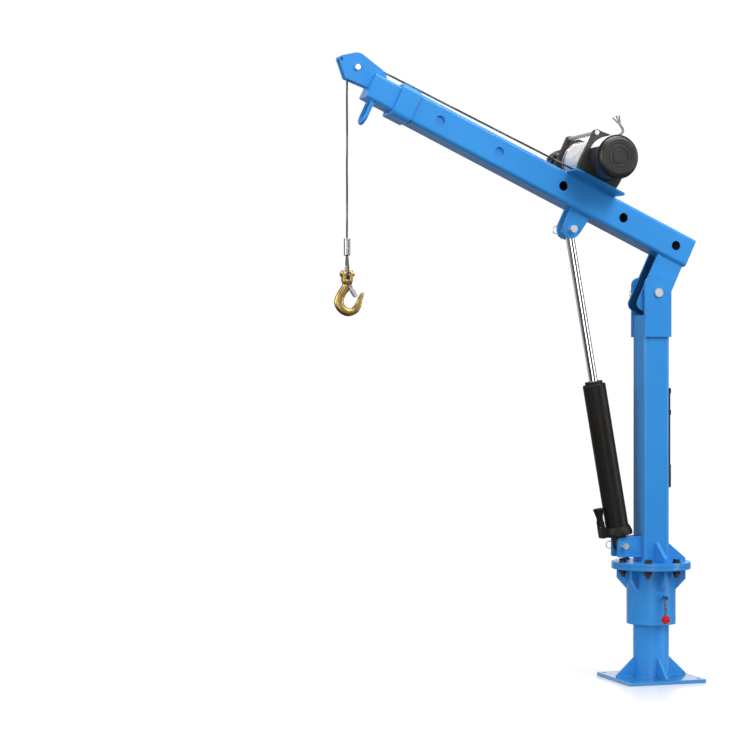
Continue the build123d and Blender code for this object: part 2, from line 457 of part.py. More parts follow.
motor = yrod(WINCH_U, WINCH_V, MOTOR_R, MOTOR_Y1, -BRACKET_Y1) - yrod(WINCH_U, WINCH_V, MOTOR_R - 7, MOTOR_Y1 - 1, -BRACKET_Y1 + 1)
save("motor_housing", BOOM * motor)

cap = yrod(WINCH_U, WINCH_V, MOTORCAP_R, MOTORCAP_Y1, MOTOR_Y1)
cap = fillet(cap.edges().filter_by(GeomType.CIRCLE).sort_by(Axis.Y)[0], 6.0)
for k in range(20):
    a = 18.0 * k
    slot = Pos(0, 0, 0) * block(MOTORCAP_R - 17, MOTORCAP_R + 5, MOTORCAP_Y1 - 1, MOTORCAP_Y1 + 12, -2.2, 2.2)
    slot += block(MOTORCAP_R - 4, MOTORCAP_R + 5, MOTORCAP_Y1 - 1, MOTOR_Y1 - 8, -2.2, 2.2)
    cap -= Pos(WINCH_U, 0, WINCH_V) * Rot(0, a, 0) * slot
cap -= yrod(WINCH_U, WINCH_V, 6.05, MOTOR_Y1 - 16, MOTOR_Y1 + 1)
save("motor_end_cap", BOOM * cap)

rotor = yrod(WINCH_U, WINCH_V, 6, MOTOR_Y1 - 15, GEAR_Y1 + 1)
rotor += yrod(WINCH_U, WINCH_V, 34, MOTOR_Y1 + 8, -116)
rotor += gear(SUN_Z, 1.6, 2.2, 0.15, 0, WINCH_U, WINCH_V, GEAR_Y0, GEAR_Y1)
save("motor_rotor", BOOM * rotor)

screws = []
for u, y in foot_spots:
    screws.append(Pos(u, y, 0) * sunk_head + rod((u, y, pb + FOOT_HEAD_H - 0.5), (u, y, pb + PLATE_T + 15), FOOT_SCREW_R))
for y in (-112.0, MOTOR_Y1 + 8):
    for a in (20, 65, 110, 155):
        ca, sa = math.cos(math.radians(a)), math.sin(math.radians(a))
        head = rod((WINCH_U + 44 * ca, y, WINCH_V + 44 * sa), (WINCH_U + 53 * ca, y, WINCH_V + 53 * sa), 5)
        head -= yrod(WINCH_U, WINCH_V, MOTOR_R, -210, -90)
        head -= rod((WINCH_U + 50 * ca, y, WINCH_V + 50 * sa), (WINCH_U + 55 * ca, y, WINCH_V + 55 * sa), 2.4)
        screws.append(head)
save("winch_screws", *[BOOM * s for s in screws])

cu, cv = WINCH_U + CLUTCH_DU, WINCH_V
lever = rod((cu, CLUTCH_Y, cv + 50), (cu, CLUTCH_Y, cv + 66), 5)
lever += rod((cu, CLUTCH_Y, cv + CLUTCH_TOP + 0.05), (cu, CLUTCH_Y, cv + 70), 6.5)
knees = [(cu, CLUTCH_Y, cv + 69), (cu - 5, CLUTCH_Y - 2, cv + 83.4), (cu - 0.5, CLUTCH_Y - 5, cv + 91),
         (cu + 6.8, CLUTCH_Y - 11, cv + 98)]
for p, q in zip(knees, knees[1:]):
    lever += rod(p, q, 3.4)
    lever += Pos(*q) * Sphere(3.6)
for du, dv in ((31.2, 108.4), (25.0, 117.7), (17.2, 121.7)):
    q = (cu + du, CLUTCH_Y - 20, cv + dv)
    lever += rod(knees[-1], q, 2.2)
    lever += Pos(*q) * Sphere(2.4)
save("clutch_lever", BOOM * lever)

# ---------------------------------------------------------------- rope
du, dv = AXLE_U - WINCH_U, AXLE_V - WINCH_V
tilt = math.atan2(dv, du) + math.asin((DRUM_ROPE_R + PULLEY_ROPE_R) / math.hypot(du, dv))
nu, nv = -math.sin(tilt), math.cos(tilt)
start = (WINCH_U - DRUM_ROPE_R * nu, RUN_Y0, WINCH_V - DRUM_ROPE_R * nv)
stop = (AXLE_U + PULLEY_ROPE_R * nu, 0, AXLE_V + PULLEY_ROPE_R * nv)
save("rope_run", BOOM * rod(start, stop, ROPE_R))

axle_x, axle_z = boom_point(AXLE_U, AXLE_V)
rope_x = axle_x + PULLEY_ROPE_R
save("rope_fall", rod((rope_x, 0, FERRULE_Z1), (rope_x, 0, axle_z), ROPE_R))

ferrule = rod((rope_x, 0, FERRULE_Z0), (rope_x, 0, FERRULE_Z1), FERRULE_R)
ferrule = fillet(ferrule.edges().filter_by(GeomType.CIRCLE), 2.5)
save("rope_ferrule", ferrule)

# eye of the rope around its thimble, in the plane across the boom
loop_r = 12.0
qy, qz = 3.4, FERRULE_Z0 - 0.7 - HOOK_PIN_Z
phi = math.atan2(qz, qy) - math.acos(loop_r / math.hypot(qy, qz))
ty, tz = loop_r * math.cos(phi), loop_r * math.sin(phi)
path = Wire([Edge.make_line((rope_x, -qy, HOOK_PIN_Z + qz), (rope_x, -ty, HOOK_PIN_Z + tz)),
             Edge.make_three_point_arc((rope_x, -ty, HOOK_PIN_Z + tz), (rope_x, 0, HOOK_PIN_Z - loop_r), (rope_x, ty, HOOK_PIN_Z + tz)),
             Edge.make_line((rope_x, ty, HOOK_PIN_Z + tz), (rope_x, qy, HOOK_PIN_Z + qz))])
circle = Plane(origin=(rope_x, -qy, HOOK_PIN_Z + qz), z_dir=(0, qy - ty, tz - qz)) * Circle(ROPE_R)
loop = sweep(circle, path)
thimble = rod((rope_x - 4, 0, HOOK_PIN_Z), (rope_x + 4, 0, HOOK_PIN_Z), loop_r - ROPE_R) - rod(
    (rope_x - 9, 0, HOOK_PIN_Z), (rope_x + 9, 0, HOOK_PIN_Z), HOOK_PIN_R + 0.05)
save("rope_thimble", loop, thimble)

# ---------------------------------------------------------------- hook
outer = Spline((13, -24), (14.5, -32), (22, -41.5), (30.5, -55), (36.6, -70), (36.8, -80), (32.5, -91), (23.5, -102.5),
               (11, -111.5), (-3, -115), (-18, -112), (-30.5, -104), (-38.5, -91.5), (-42, -77), (-45, -65), (-49, -52.5))
inner = Spline((-41, -52.5), (-32, -62), (-26.5, -72), (-21, -84), (-13.5, -90.8), (-5, -92.5), (3.5, -88.5), (9, -80),
               (10.5, -71), (6.5, -60), (-2, -48.7), (-9.5, -39.5), (-12.8, -32), (-13, -24))
tip_arc = Edge.make_three_point_arc((-49, -52.5, 0), (-46, -48.4, 0), (-41, -52.5, 0))
top = Edge.make_line((-13, -24, 0), (13, -24, 0))
face = make_face(Wire(outer.edges() + [tip_arc] + inner.edges() + [top]))
body = extrude(face, amount=2 * HOOK_HALF_T)
body = Location(Plane(origin=(rope_x, HOOK_HALF_T, HOOK_PIN_Z), x_dir=(1, 0, 0), z_dir=(0, -1, 0))) * body
head = block(-14, 14, -11, 11, -26, 0) + rod((-14, 0, 0), (14, 0, 0), 11)
head -= block(-5.2, 5.2, -20, 20, -18, 20)
body = body + Pos(rope_x, 0, HOOK_PIN_Z) * head
body -= rod((rope_x - 20, 0, HOOK_PIN_Z), (rope_x + 20, 0, HOOK_PIN_Z), HOOK_PIN_R)
latch_x, latch_z = rope_x - 8.0, HOOK_PIN_Z - 34.0
body -= yrod(latch_x, latch_z, 2.5, -20, 20)
save("hook", body)

pin = rod((rope_x - 14, 0, HOOK_PIN_Z), (rope_x + 14, 0, HOOK_PIN_Z), HOOK_PIN_R)
for s in (-1, 1):
    pin += rod((rope_x + s * 14, 0, HOOK_PIN_Z), (rope_x + s * 18, 0, HOOK_PIN_Z), 8)
    pin += rod((rope_x + s * 17, 0, HOOK_PIN_Z), (rope_x + s * 20.5, 0, HOOK_PIN_Z), 5)
save("hook_pin", pin, yrod(latch_x, latch_z, 2.5, -HOOK_HALF_T - 2.4, HOOK_HALF_T + 2.4))

# spring latch: two cheeks on the pin and a web that closes the mouth
cheek = yprism([(4, 3), (4, -4), (-6, -10.5), (-25, -21.5), (-27.6, -18.4), (-8, -2), (-3, 4)], HOOK_HALF_T + 0.3, HOOK_HALF_T + 2.0)
cheek -= yrod(0, 0, 2.55, 0, 20)
web = yprism([(-12, -5.5), (-27.6, -18.4), (-29, -16.4), (-13.5, -3.3)], -HOOK_HALF_T - 2.0, HOOK_HALF_T + 2.0)
latch = cheek + mirror(cheek, about=Plane.XZ) + web
save("hook_latch", Pos(latch_x, 0, latch_z) * Rot(0, -24, 0) * latch)

# ---------------------------------------------------------------- lifting ram
lug = yrod(0, 0, RAM_EYE_R, -RAM_EYE_HALF_Y, RAM_EYE_HALF_Y)
lug += block(-RAM_EYE_R, RAM_EYE_R, -RAM_EYE_HALF_Y, RAM_EYE_HALF_Y, 0, RAM_BASE_Z0)
base = lug + disc(RAM_BASE_R, RAM_BASE_Z0, RAM_BASE_Z1)
base += Pos(0, 0, (RAM_BASE_Z1 + RAM_BARREL_Z0) / 2) * Cone(RAM_BASE_R, RAM_R + 2.5, RAM_BARREL_Z0 - RAM_BASE_Z1)
base += block(30, PUMP_X + 6.5, -15, 15, RAM_BASE_Z0 + 1, RAM_BARREL_Z0)
base += block(RAM_R + 1, PUMP_X + 6.5, -15, 15, RAM_BARREL_Z0 - 1, PUMP_PIVOT_Z - 16)
for s in (-1, 1):
    base += block(PUMP_X - 6, PUMP_X + 6, min(s * 11, s * 15), max(s * 11, s * 15), PUMP_PIVOT_Z - 17, PUMP_PIVOT_Z)
    base += yrod(PUMP_X, PUMP_PIVOT_Z, 6, min(s * 11, s * 15), max(s * 11, s * 15))
base -= disc(RAM_BORE_R, RAM_FLOOR_Z, 58)
base -= yrod(0, 0, RAM_PIN_R + 0.05, -40, 40)
base -= yrod(PUMP_X, PUMP_PIVOT_Z, 3.05, -40, 40)
base -= rod((PUMP_X, 0, 36), (PUMP_X, 0, 80), 5.05)
base -= rod((0, -35, VALVE_Z), (0, -60, VALVE_Z), 5.05)
save("ram_base", RAM * base)

barrel = ring(RAM_R, RAM_BORE_R, RAM_BARREL_Z0, RAM_BARREL_Z1)
barrel = fillet(barrel.edges().filter_by(GeomType.CIRCLE).sort_by(Axis.Z)[-2:].sort_by(SortBy.RADIUS)[-1], 4.0)
save("ram_barrel", RAM * barrel)

gland = disc(GLAND_R, RAM_BARREL_Z1, RAM_BARREL_Z1 + GLAND_H) + disc(RAM_BORE_R, RAM_BARREL_Z1 - GLAND_PLUG, RAM_BARREL_Z1)
gland -= disc(ROD_R + 0.05, 400, 500)
save("ram_gland", RAM * gland)

stem = disc(ROD_R, PISTON_Z0, RAM_LENGTH - 11) + yrod(0, RAM_LENGTH, ROD_EYE_R, -RAM_EYE_HALF_Y, RAM_EYE_HALF_Y)
stem -= yrod(0, RAM_LENGTH, RAM_PIN_R, -40, 40)
piston = ring(RAM_BORE_R - 0.05, ROD_R, PISTON_Z0, PISTON_Z1)
mid_pin = yrod(0, RAM_LENGTH, RAM_PIN_R, -RAM_EYE_HALF_Y, RAM_EYE_HALF_Y)
save("ram_rod", RAM * stem, RAM * piston, RAM * mid_pin)

pz = PUMP_PIVOT_Z
cup = make_face(Polyline((0, 0, pz - 12), (9.5, 0, pz - 12), (9.5, 0, pz + 14), (14.8, 0, pz + 36), (14.8, 0, pz + 39),
                         (11.3, 0, pz + 39), (8.2, 0, pz + 19), (0, 0, pz + 19), close=True))
socket = Pos(PUMP_X, 0, 0) * revolve(cup, Axis.Z, 360)
socket += yrod(PUMP_X, pz, 3, -15, 15)
save("pump_socket", RAM * socket)
save("pump_plunger", RAM * rod((PUMP_X, 0, 44), (PUMP_X, 0, 62), 5))

valve = rod((0, -36, VALVE_Z), (0, -62, VALVE_Z), 5) + rod((-13, -58, VALVE_Z), (13, -58, VALVE_Z), 2.5)
save("release_valve", RAM * valve)

print("ram", RAM_LENGTH, RAM_LEAN, RAM_TOP_X, RAM_TOP_Z, "rope", rope_x, axle_x, axle_z, "run", start, stop)
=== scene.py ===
import bpy
import bmesh
import math
from mathutils import Matrix, Vector


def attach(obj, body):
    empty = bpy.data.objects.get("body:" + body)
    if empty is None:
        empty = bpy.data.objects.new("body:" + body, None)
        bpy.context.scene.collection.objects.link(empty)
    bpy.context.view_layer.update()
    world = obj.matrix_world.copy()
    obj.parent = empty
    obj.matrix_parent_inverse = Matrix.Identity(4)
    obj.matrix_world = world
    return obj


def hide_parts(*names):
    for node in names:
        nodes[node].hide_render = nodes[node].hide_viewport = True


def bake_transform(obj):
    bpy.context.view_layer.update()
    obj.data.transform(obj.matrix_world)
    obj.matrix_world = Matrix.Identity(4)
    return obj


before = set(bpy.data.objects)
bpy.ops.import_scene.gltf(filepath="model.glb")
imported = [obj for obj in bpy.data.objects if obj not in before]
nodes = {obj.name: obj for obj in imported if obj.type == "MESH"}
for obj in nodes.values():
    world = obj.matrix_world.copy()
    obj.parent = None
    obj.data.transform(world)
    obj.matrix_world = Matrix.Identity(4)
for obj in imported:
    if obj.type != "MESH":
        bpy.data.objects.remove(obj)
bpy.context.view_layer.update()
scene = bpy.context.scene

# ------------------------------------------------------------------ places (mm in, metres out)
LUFF = math.radians(25.0)
RAM_LEAN = math.radians(10.072443)
CL, SL = math.cos(LUFF), math.sin(LUFF)
CR, SR = math.cos(RAM_LEAN), math.sin(RAM_LEAN)
ROPE_X = 905.0351


def W(x, y, z):
    return Vector((x, y, z)) / 1000.0


def B(u, y, v):
    w = v + 148.0
    return Vector((u * CL - w * SL, y, 1098.0 + u * SL + w * CL)) / 1000.0


def R(x, y, z):
    return Vector((95.5 + x * CR + z * SR, y, 383.0 - x * SR + z * CR)) / 1000.0


BOOM_ROT = Matrix(((CL, 0, -SL), (0, 1, 0), (SL, 0, CL))).to_4x4()


# ------------------------------------------------------------------ camera
camera_data = bpy.data.cameras.new("camera")
camera = bpy.data.objects.new("camera", camera_data)
scene.collection.objects.link(camera)
camera.location = (2.68155, 5.75560, 0.89678)
yaw, pitch = 0.312, -0.005
look = Vector((-math.sin(yaw) * math.cos(pitch), -math.cos(yaw) * math.cos(pitch), math.sin(pitch)))
camera.rotation_mode = "QUATERNION"
camera.rotation_quaternion = look.to_track_quat("-Z", "Y")
camera_data.sensor_width = 36.0
camera_data.lens = 36.0 * 2215.102 / 750.0
camera_data.clip_start, camera_data.clip_end = 0.1, 60.0
camera_data.dof.use_dof = False
scene.camera = camera


# ------------------------------------------------------------------ materials
class Tree:
    def __init__(self, name):
        self.mat = bpy.data.materials.new(name)
        self.mat.use_nodes = True
        self.nt = self.mat.node_tree
        self.bsdf = next(n for n in self.nt.nodes if n.type == "BSDF_PRINCIPLED")
        self.coord = self.nt.nodes.new("ShaderNodeTexCoord")

    def node(self, kind, **values):
        n = self.nt.nodes.new(kind)
        for k, v in values.items():
            setattr(n, k, v)
        return n

    def link(self, a, b):
        self.nt.links.new(a, b)

    def mapping(self, scale=(1, 1, 1), rotation=(0, 0, 0)):
        m = self.node("ShaderNodeMapping")
        m.inputs["Scale"].default_value = scale
        m.inputs["Rotation"].default_value = rotation
        self.link(self.coord.outputs["Object"], m.inputs["Vector"])
        return m.outputs["Vector"]

    def noise(self, scale, detail=3.0, rough=0.55, vector=None):
        n = self.node("ShaderNodeTexNoise")
        n.inputs["Scale"].default_value = scale
        n.inputs["Detail"].default_value = detail
        n.inputs["Roughness"].default_value = rough
        self.link(vector or self.coord.outputs["Object"], n.inputs["Vector"])
        return n.outputs["Fac"]

    def ramp(self, fac, stops):
        r = self.node("ShaderNodeValToRGB")
        els = r.color_ramp.elements
        while len(els) < len(stops):
            els.new(0.5)
        for e, (p, c) in zip(els, stops):
            e.position = p
            e.color = (*c, 1.0) if len(c) == 3 else c
        self.link(fac, r.inputs["Fac"])
        return r.outputs["Color"]

    def range(self, fac, low, high, from_low=0.3, from_high=0.7):
        m = self.node("ShaderNodeMapRange")
        m.inputs["From Min"].default_value = from_low
        m.inputs["From Max"].default_value = from_high
        m.inputs["To Min"].default_value = low
        m.inputs["To Max"].default_value = high
        self.link(fac, m.inputs["Value"])
        return m.outputs["Result"]

    def colour(self, out):
        self.link(out, self.bsdf.inputs["Base Color"])

    def rough(self, out):
        self.link(out, self.bsdf.inputs["Roughness"])

    def bump(self, out, strength, distance):
        b = self.node("ShaderNodeBump")
        b.inputs["Strength"].default_value = strength
        b.inputs["Distance"].default_value = distance
        self.link(out, b.inputs["Height"])
        self.link(b.outputs["Normal"], self.bsdf.inputs["Normal"])
        return b

    def set(self, **values):
        for k, v in values.items():
            self.bsdf.inputs[k.replace("_", " ")].default_value = v


def paint(name, dark, light, rough, coat, peel=380.0, peel_strength=0.05, coat_rough=0.10, sheen=0.5):
    t = Tree(name)
    t.colour(t.ramp(t.noise(5.0, 5.0), [(0.3, dark), (0.7, light)]))
    t.rough(t.range(t.noise(22.0, 4.0), rough - 0.05, rough + 0.06))
    t.bump(t.noise(peel, 2.0), peel_strength, 0.0006)
    t.set(Metallic=0.0, Specular_IOR_Level=sheen, Coat_Weight=coat, Coat_Roughness=coat_rough)
    return t.mat


def metal(name, dark, light, rough, spread=0.06, grain=(1, 1, 1), grain_scale=60.0, bump=0.03, metallic=1.0):
    t = Tree(name)
    t.colour(t.ramp(t.noise(14.0, 4.0), [(0.3, dark), (0.7, light)]))
    v = t.mapping(scale=grain)
    t.rough(t.range(t.noise(grain_scale, 4.0, 0.6, v), rough - spread, rough + spread))
    t.bump(t.noise(grain_scale * 3.0, 3.0, 0.6, v), bump, 0.0003)
    t.set(Metallic=metallic)
    return t.mat


BLUE = paint("blue_enamel", (0.029, 0.252, 0.67), (0.035, 0.277, 0.71), 0.36, 0.25, coat_rough=0.12, sheen=0.28)
# dark navy copy of the blue paint: painted shade inside the neck channel
NECK_PAINTED_SHADE = paint("blue_painted_shade_neck", (0.004, 0.050, 0.16), (0.006, 0.062, 0.19), 0.50, 0.0, sheen=0.2)
# glossier copy of the blue paint for the two plates; its darker base colour is painted shade
PLATE_BLUE_SHADED = paint("blue_gloss_painted_shade", (0.017, 0.190, 0.48), (0.022, 0.210, 0.52), 0.36, 1.0, coat_rough=0.05, sheen=0.3)
RAM_BLACK = paint("ram_black_enamel", (0.006, 0.005, 0.004), (0.010, 0.009, 0.007), 0.46, 0.0, 260.0, 0.06, 0.25, 0.25)
CAST_BLACK = paint("black_powder_coat", (0.014, 0.014, 0.014), (0.022, 0.021, 0.020), 0.40, 0.05, 900.0, 0.18)
MOTOR_BLACK = paint("black_gloss_coat", (0.008, 0.008, 0.009), (0.014, 0.014, 0.016), 0.34, 0.10, 420.0, 0.06)
OXIDE = metal("black_oxide", (0.060, 0.050, 0.042), (0.110, 0.094, 0.080), 0.42, 0.08, (1, 1, 1), 160.0, 0.08)
# the bores are bare steel, and the near-black colour is painted shade inside the tubes
BORE_STEEL_AND_SHADE = metal("bore_steel_and_painted_shade", (0.010, 0.010, 0.013), (0.022, 0.022, 0.026), 0.62, 0.08, (1, 1, 1), 70.0, 0.10)
CHROME = metal("hard_chrome", (0.74, 0.75, 0.77), (0.82, 0.83, 0.85), 0.10, 0.03, (1, 1, 0.1), 120.0, 0.01)
ZINC = metal("zinc_steel", (0.80, 0.80, 0.81), (0.90, 0.90, 0.90), 0.42, 0.07, (1, 1, 1), 110.0, 0.04)
TURNED = metal("turned_steel", (0.60, 0.60, 0.61), (0.74, 0.74, 0.75), 0.24, 0.06, (1, 14, 1), 90.0, 0.05)
# two copies of one wire rope: the bright one for the drum turns is painted light, and the dark one for the run, fall
# and rope eye is painted shade
WIRE = metal("wire_rope_painted_light", (0.88, 0.85, 0.80), (0.94, 0.91, 0.86), 0.40, 0.08, (1, 1, 1), 420.0, 0.10, 0.4)
ROPE_PAINTED_SHADE = metal("wire_rope_painted_shade", (0.10, 0.10, 0.10), (0.16, 0.16, 0.16), 0.45, 0.08, (1, 1, 1), 420.0, 0.10)
ALLOY = metal("swaged_alloy", (0.24, 0.24, 0.26), (0.34, 0.34, 0.36), 0.26, 0.06, (1, 1, 1), 140.0, 0.015)
BRONZE = metal("bronze_bush", (0.45, 0.29, 0.13), (0.55, 0.37, 0.18), 0.38, 0.06, (1, 1, 6), 90.0, 0.05)
LEVER = metal("grey_lever_steel", (0.13, 0.13, 0.135), (0.18, 0.18, 0.185), 0.46, 0.06, (1, 1, 1), 140.0, 0.05, 0.5)
LATCH = metal("pressed_latch_steel", (0.50, 0.50, 0.53), (0.60, 0.60, 0.63), 0.36, 0.06, (1, 1, 1), 140.0, 0.02, 0.35)
BRASS = metal("brass_stud", (0.60, 0.38, 0.14), (0.74, 0.49, 0.20), 0.26, 0.05, (1, 1, 1), 120.0, 0.03)


def gold_zinc():
    t = Tree("yellow_zinc")
    hue = t.noise(38.0, 5.0, 0.6)
    t.colour(t.ramp(hue, [(0.28, (0.36, 0.245, 0.085)), (0.5, (0.47, 0.32, 0.115)), (0.72, (0.54, 0.35, 0.15))]))
    t.rough(t.range(t.noise(90.0, 4.0), 0.34, 0.46))
    t.bump(t.noise(240.0, 3.0), 0.012, 0.0003)
    t.set(Metallic=1.0)
    return t.mat


def red_plastic():
    t = Tree("red_phenolic")
    t.colour(t.ramp(t.noise(60.0, 3.0), [(0.3, (0.46, 0.004, 0.002)), (0.7, (0.52, 0.006, 0.003))]))
    t.rough(t.range(t.noise(120.0, 3.0), 0.14, 0.22))
    t.bump(t.noise(500.0, 2.0), 0.02, 0.0003)
    t.set(Specular_IOR_Level=0.25, Coat_Weight=0.05, Coat_Roughness=0.06)
    return t.mat


def rubber():
    t = Tree("grip_rubber")
    t.colour(t.ramp(t.noise(80.0, 4.0), [(0.3, (0.010, 0.010, 0.011)), (0.7, (0.022, 0.022, 0.022))]))
    t.rough(t.range(t.noise(300.0, 3.0), 0.55, 0.72))
    t.bump(t.noise(700.0, 3.0), 0.15, 0.0004)
    return t.mat


def label_foil():
    t = Tree("bare_label_foil")
    t.colour(t.ramp(t.noise(40.0, 3.0), [(0.3, (0.90, 0.90, 0.91)), (0.7, (0.94, 0.94, 0.95))]))
    t.rough(t.range(t.noise(160.0, 3.0), 0.30, 0.42))
    t.bump(t.noise(300.0, 2.0), 0.03, 0.0002)
    t.set(Metallic=0.0)
    return t.mat


GOLD, RED, RUBBER, LABEL = gold_zinc(), red_plastic(), rubber(), label_foil()


# ------------------------------------------------------------------ smoothing of CAD nodes
def smooth_group():
    g = bpy.data.node_groups.new("smooth_by_angle", "GeometryNodeTree")
    g.interface.new_socket("Geometry", in_out="INPUT", socket_type="NodeSocketGeometry")
    g.interface.new_socket("Geometry", in_out="OUTPUT", socket_type="NodeSocketGeometry")
    gi, go = g.nodes.new("NodeGroupInput"), g.nodes.new("NodeGroupOutput")
    faces, edges = g.nodes.new("GeometryNodeSetShadeSmooth"), g.nodes.new("GeometryNodeSetShadeSmooth")
    edges.domain = "EDGE"
    angle, compare = g.nodes.new("GeometryNodeInputMeshEdgeAngle"), g.nodes.new("FunctionNodeCompare")
    compare.data_type, compare.operation = "FLOAT", "GREATER_THAN"
    compare.inputs[1].default_value = math.radians(32.0)
    g.links.new(gi.outputs[0], faces.inputs["Geometry"])
    faces.inputs["Shade Smooth"].default_value = True
    g.links.new(faces.outputs[0], edges.inputs["Geometry"])
    g.links.new(angle.outputs["Unsigned Angle"], compare.inputs[0])
    g.links.new(compare.outputs["Result"], edges.inputs["Selection"])
    edges.inputs["Shade Smooth"].default_value = False
    g.links.new(edges.outputs[0], go.inputs[0])
    return g


SMOOTH = smooth_group()


def dress(name, material, bevel=0.8):
    o = nodes[name]
    o.data.materials.clear()
    o.data.materials.append(material)
    if bevel:
        weld = o.modifiers.new("weld", "WELD")
        weld.merge_threshold = 0.00001
        flat = o.modifiers.new("flat", "DECIMATE")
        flat.decimate_type = "DISSOLVE"
        flat.angle_limit = math.radians(0.6)
        edge = o.modifiers.new("edge", "BEVEL")
        edge.width = bevel / 1000.0
        edge.segments = 2
        edge.limit_method = "ANGLE"
        edge.angle_limit = math.radians(34.0)
        edge.use_clamp_overlap = True
        shade = o.modifiers.new("shade", "NODES")
        shade.node_group = SMOOTH
        level = o.modifiers.new("level", "WEIGHTED_NORMAL")
        level.mode = "FACE_AREA"
        level.weight = 100
        level.keep_sharp = True
    return o


for name, bevel in (("base_plate", 1.2), ("base_post", 0.8), ("base_gussets", 1.0), ("swivel_sleeve", 1.2),
                    ("sleeve_flange", 1.2), ("sleeve_gussets", 1.0), ("mast_flange", 1.2), ("mast_tube", 0.8),
                    ("mast_gussets", 1.0), ("mast_clevis_plates", 0.6), ("ram_lower_ears", 1.2), ("boom_tube", 0.8),
                    ("boom_collar", 1.0), ("boom_neck", 1.5), ("ram_upper_ears", 1.2), ("winch_plate", 1.0),
                    ("inner_boom_tube", 0.8), ("head_plates", 1.2), ("lifting_eye", 0)):
    # base and winch plates take the darker glossy copy: painted shade on the same blue paint
    dress(name, PLATE_BLUE_SHADED if name in ("base_plate", "winch_plate") else BLUE, bevel)
for name, bevel in (("ram_barrel", 0.8), ("ram_base", 1.6), ("ram_gland", 1.0), ("pump_socket", 0.8), ("handle_clips", 0.8)):
    dress(name, RAM_BLACK, bevel)
for name, bevel in (("ram_rod", 0), ("pump_plunger", 0.4)):
    dress(name, CHROME, bevel)
for name, bevel in (("boom_pivot_pin", 0.8), ("ram_lower_pin", 0.8), ("ram_upper_pin", 0.8), ("winch_screws", 0.5),
                    ("head_bolts", 0.8), ("head_pulley", 0.6), ("winch_tie_rods", 0.8)):
    dress(name, ZINC, bevel)
for name, bevel in (("winch_drum", 0.6), ("motor_rotor", 0), ("planet_carrier", 0),
                    ("planet_gear_1", 0), ("planet_gear_2", 0), ("planet_gear_3", 0)):
    dress(name, TURNED, bevel)
for name in ("flange_bolts", "flange_nuts"):
    dress(name, OXIDE, 0.7)
for name, bevel in (("winch_brackets", 2.0), ("gearbox_cap", 1.0), ("motor_end_cap", 0.8)):
    dress(name, CAST_BLACK, bevel)
dress("motor_housing", MOTOR_BLACK, 1.0)
dress("gearbox_housing", MOTOR_BLACK, 1.0)
dress("clutch_lever", LEVER, 0.5)
dress("swivel_bushes", BRONZE, 0.6)
dress("lock_knob", RED, 0)
dress("pump_handle", RAM_BLACK, 0)
dress("rope_ferrule", ALLOY, 0)
dress("lock_screw", ALLOY, 0.6)
dress("hook_latch", LATCH, 0.6)
for name in ("hook", "hook_pin"):
    dress(name, GOLD, 0.6)
dress("release_valve", OXIDE, 0.6)


def boom_local(p):
    x, z = p.x * 1000.0, p.z * 1000.0 - 1098.0
    return x * CL + z * SL, p.y * 1000.0, -x * SL + z * CL - 148.0


def part_face(name, material, test):
    o = nodes[name]
    o.data.materials.append(material)
    for p in o.data.polygons:
        if test(*boom_local(o.matrix_world @ p.center)):
            p.material_index = 1


# bare steel inside the tubes, near black as painted shade in the bores; painted shade in dark navy inside the neck
# channel; foot screws painted over with the plate; dark oxide keeper pin as painted shade in its recess
part_face("boom_tube", BORE_STEEL_AND_SHADE, lambda u, y, v: max(abs(y), abs(v + 2.0)) < 37.4)
part_face("inner_boom_tube", BORE_STEEL_AND_SHADE, lambda u, y, v: max(abs(y), abs(v + 2.0)) < 31.4 and u < 1000.0)
# painted shade: the inside of the neck channel gets the dark navy copy of the blue
part_face("boom_neck", NECK_PAINTED_SHADE, lambda u, y, v: abs(y) < 26.3 and u > -40.0)
part_face("winch_screws", BLUE, lambda u, y, v: v < 70.0)
# keeper pin end in dark oxide: painted shade in its recessed hole
part_face("head_bolts", OXIDE, lambda u, y, v: u > 1080.0)


# ------------------------------------------------------------------ mesh helpers
def finish_mesh(name, bm, material, angle=38.0):
    bmesh.ops.recalc_face_normals(bm, faces=bm.faces[:])
    mesh = bpy.data.meshes.new(name)
    bm.to_mesh(mesh)
    bm.free()
    mesh.materials.append(material)
    for p in mesh.polygons:
        p.use_smooth = True
    mesh.set_sharp_from_angle(angle=math.radians(angle))
    o = bpy.data.objects.new(name, mesh)
    scene.collection.objects.link(o)
    return o


def frames(points, closed=False):
    n = len(points)
    tangents = []
    for i in range(n):
        a = points[i - 1] if (i > 0 or closed) else points[i]
        b = points[(i + 1) % n] if (i < n - 1 or closed) else points[i]
        tangents.append((b - a).normalized())
    ref = Vector((0, 0, 1)) if abs(tangents[0].z) < 0.9 else Vector((0, 1, 0))
    normal = (ref - tangents[0] * ref.dot(tangents[0])).normalized()
    out = []
    for t in tangents:
        normal = (normal - t * normal.dot(t)).normalized()
        out.append((normal.copy(), t.cross(normal)))
    return out


def sweep(bm, points, radius, sides=8, closed=False, caps=True):
    fr = frames(points, closed)
    rings = []
    for i, p in enumerate(points):
        r = radius(i) if callable(radius) else radius
        nrm, bi = fr[i]
        rings.append([bm.verts.new(p + (nrm * math.cos(2 * math.pi * k / sides) + bi * math.sin(2 * math.pi * k / sides)) * r)
                      for k in range(sides)])
    count = len(rings)
    for i in range(count if closed else count - 1):
        a, b = rings[i], rings[(i + 1) % count]
        for k in range(sides):
            bm.faces.new((a[k], a[(k + 1) % sides], b[(k + 1) % sides], b[k]))
    if caps and not closed:
        bm.faces.new(rings[0])
        bm.faces.new(list(reversed(rings[-1])))


